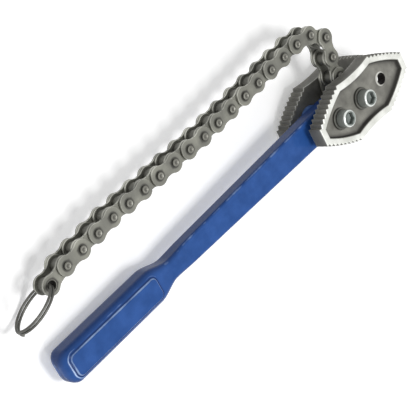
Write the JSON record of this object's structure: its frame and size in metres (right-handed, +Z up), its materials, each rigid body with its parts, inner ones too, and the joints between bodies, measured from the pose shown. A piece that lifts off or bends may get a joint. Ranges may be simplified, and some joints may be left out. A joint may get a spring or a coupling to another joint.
{
  "type": "chain pipe wrench",
  "caption": "Chain pipe wrench with a forged handle, two bolted toothed jaw plates and a riveted link chain that ends in a split ring.",
  "frame": {"origin": "middle of the underside of the box round the whole tool as it lies", "axes": "+X along the handle from butt to jaws, +Z up along every bolt and chain pin, +Y towards the side on which the chain lies"},
  "size_m": [0.3806, 0.094, 0.058],
  "materials": {
    "blue_enamel": "glossy blue enamel over forged steel",
    "jaw_steel": "forged and blasted, bright on the ground rim",
    "link_steel": "oiled heat-treated steel",
    "plate_steel": "oiled heat-treated steel",
    "screw_steel": "zinc plated",
    "black_steel": "black oxide"
  },
  "bodies": {
    "handle_and_jaws": {"handle": "blue_enamel", "upper_jaw": "jaw_steel", "lower_jaw": "jaw_steel", "front_cap_screw": "screw_steel", "rear_cap_screw": "screw_steel", "front_head_washer": "black_steel", "rear_head_washer": "black_steel", "front_nut_washer": "black_steel", "rear_nut_washer": "black_steel", "front_nut": "screw_steel", "rear_nut": "screw_steel"},
    "anchor_link": {"anchor_link": "plate_steel"},
    "link_02": {"link_02": "link_steel"},
    "link_03": {"link_03": "plate_steel"},
    "link_04": {"link_04": "link_steel"},
    "link_05": {"link_05": "plate_steel"},
    "link_06": {"link_06": "link_steel"},
    "link_07": {"link_07": "plate_steel"},
    "link_08": {"link_08": "link_steel"},
    "link_09": {"link_09": "plate_steel"},
    "link_10": {"link_10": "link_steel"},
    "link_11": {"link_11": "plate_steel"},
    "link_12": {"link_12": "link_steel"},
    "link_13": {"link_13": "plate_steel"},
    "link_14": {"link_14": "link_steel"},
    "link_15": {"link_15": "plate_steel"},
    "link_16": {"link_16": "link_steel"},
    "link_17": {"link_17": "plate_steel"},
    "link_18": {"link_18": "link_steel"},
    "link_19": {"link_19": "plate_steel"},
    "link_20": {"link_20": "link_steel"},
    "link_21": {"link_21": "plate_steel"},
    "link_22": {"link_22": "link_steel"},
    "split_ring": {"split_ring": "black_steel"}
  },
  "joints": [
    {"name": "anchor_swing", "type": "hinge", "parent": "handle_and_jaws", "child": "anchor_link", "pos_m": [0.1378, -0.02296, 0.0285], "axis": [0, 0, 1], "range_deg": [-175, 4]},
    {"name": "pin_01", "type": "hinge", "parent": "anchor_link", "child": "link_02", "pos_m": [0.13832, -0.00297, 0.0285], "axis": [0, 0, -1], "range_deg": [-4, 38]},
    {"name": "pin_02", "type": "hinge", "parent": "link_02", "child": "link_03", "pos_m": [0.13957, 0.01286, 0.0285], "axis": [0, 0, 1], "range_deg": [-38, 3]},
    {"name": "pin_03", "type": "hinge", "parent": "link_03", "child": "link_04", "pos_m": [0.14219, 0.02851, 0.0285], "axis": [0, 0, -1], "range_deg": [-3, 38]},
    {"name": "pin_04", "type": "hinge", "parent": "link_04", "child": "link_05", "pos_m": [0.12959, 0.03818, 0.0285], "axis": [0, 0, 1], "range_deg": [-38, 3]},
    {"name": "pin_05", "type": "hinge", "parent": "link_05", "child": "link_06", "pos_m": [0.11382, 0.03998, 0.0285], "axis": [0, 0, -1], "range_deg": [-4, 38]},
    {"name": "pin_06", "type": "hinge", "parent": "link_06", "child": "link_07", "pos_m": [0.09796, 0.03934, 0.0285], "axis": [0, 0, 1], "range_deg": [-38, 4]},
    {"name": "pin_07", "type": "hinge", "parent": "link_07", "child": "link_08", "pos_m": [0.0821, 0.0387, 0.0285], "axis": [0, 0, -1], "range_deg": [-4, 38]},
    {"name": "pin_08", "type": "hinge", "parent": "link_08", "child": "link_09", "pos_m": [0.06623, 0.03807, 0.0285], "axis": [0, 0, 1], "range_deg": [-38, 5]},
    {"name": "pin_09", "type": "hinge", "parent": "link_09", "child": "link_10", "pos_m": [0.05037, 0.03743, 0.0285], "axis": [0, 0, -1], "range_deg": [-5, 38]},
    {"name": "pin_10", "type": "hinge", "parent": "link_10", "child": "link_11", "pos_m": [0.03451, 0.03679, 0.0285], "axis": [0, 0, 1], "range_deg": [-38, 6]},
    {"name": "pin_11", "type": "hinge", "parent": "link_11", "child": "link_12", "pos_m": [0.01865, 0.03615, 0.0285], "axis": [0, 0, -1], "range_deg": [-6, 38]},
    {"name": "pin_12", "type": "hinge", "parent": "link_12", "child": "link_13", "pos_m": [0.00279, 0.03552, 0.0285], "axis": [0, 0, 1], "range_deg": [-38, 7]},
    {"name": "pin_13", "type": "hinge", "parent": "link_13", "child": "link_14", "pos_m": [-0.01309, 0.03574, 0.0285], "axis": [0, 0, -1], "range_deg": [-7, 38]},
    {"name": "pin_14", "type": "hinge", "parent": "link_14", "child": "link_15", "pos_m": [-0.02896, 0.03596, 0.0285], "axis": [0, 0, 1], "range_deg": [-38, 8]},
    {"name": "pin_15", "type": "hinge", "parent": "link_15", "child": "link_16", "pos_m": [-0.04483, 0.03618, 0.0285], "axis": [0, 0, -1], "range_deg": [-9, 38]},
    {"name": "pin_16", "type": "hinge", "parent": "link_16", "child": "link_17", "pos_m": [-0.06071, 0.0364, 0.0285], "axis": [0, 0, 1], "range_deg": [-38, 10]},
    {"name": "pin_17", "type": "hinge", "parent": "link_17", "child": "link_18", "pos_m": [-0.07658, 0.03662, 0.0285], "axis": [0, 0, -1], "range_deg": [-12, 38]},
    {"name": "pin_18", "type": "hinge", "parent": "link_18", "child": "link_19", "pos_m": [-0.09245, 0.03685, 0.0285], "axis": [0, 0, 1], "range_deg": [-38, 14]},
    {"name": "pin_19", "type": "hinge", "parent": "link_19", "child": "link_20", "pos_m": [-0.10829, 0.03574, 0.0285], "axis": [0, 0, -1], "range_deg": [-17, 38]},
    {"name": "pin_20", "type": "hinge", "parent": "link_20", "child": "link_21", "pos_m": [-0.12413, 0.03463, 0.0285], "axis": [0, 0, 1], "range_deg": [-38, 22]},
    {"name": "pin_21", "type": "hinge", "parent": "link_21", "child": "link_22", "pos_m": [-0.13996, 0.03352, 0.0285], "axis": [0, 0, -1], "range_deg": [-30, 38]},
    {"name": "ring_swing", "type": "hinge", "parent": "link_22", "child": "split_ring", "pos_m": [-0.1553, 0.02942, 0.0285], "axis": [0, 0, 1], "range_deg": [-90, 44]}
  ]
}
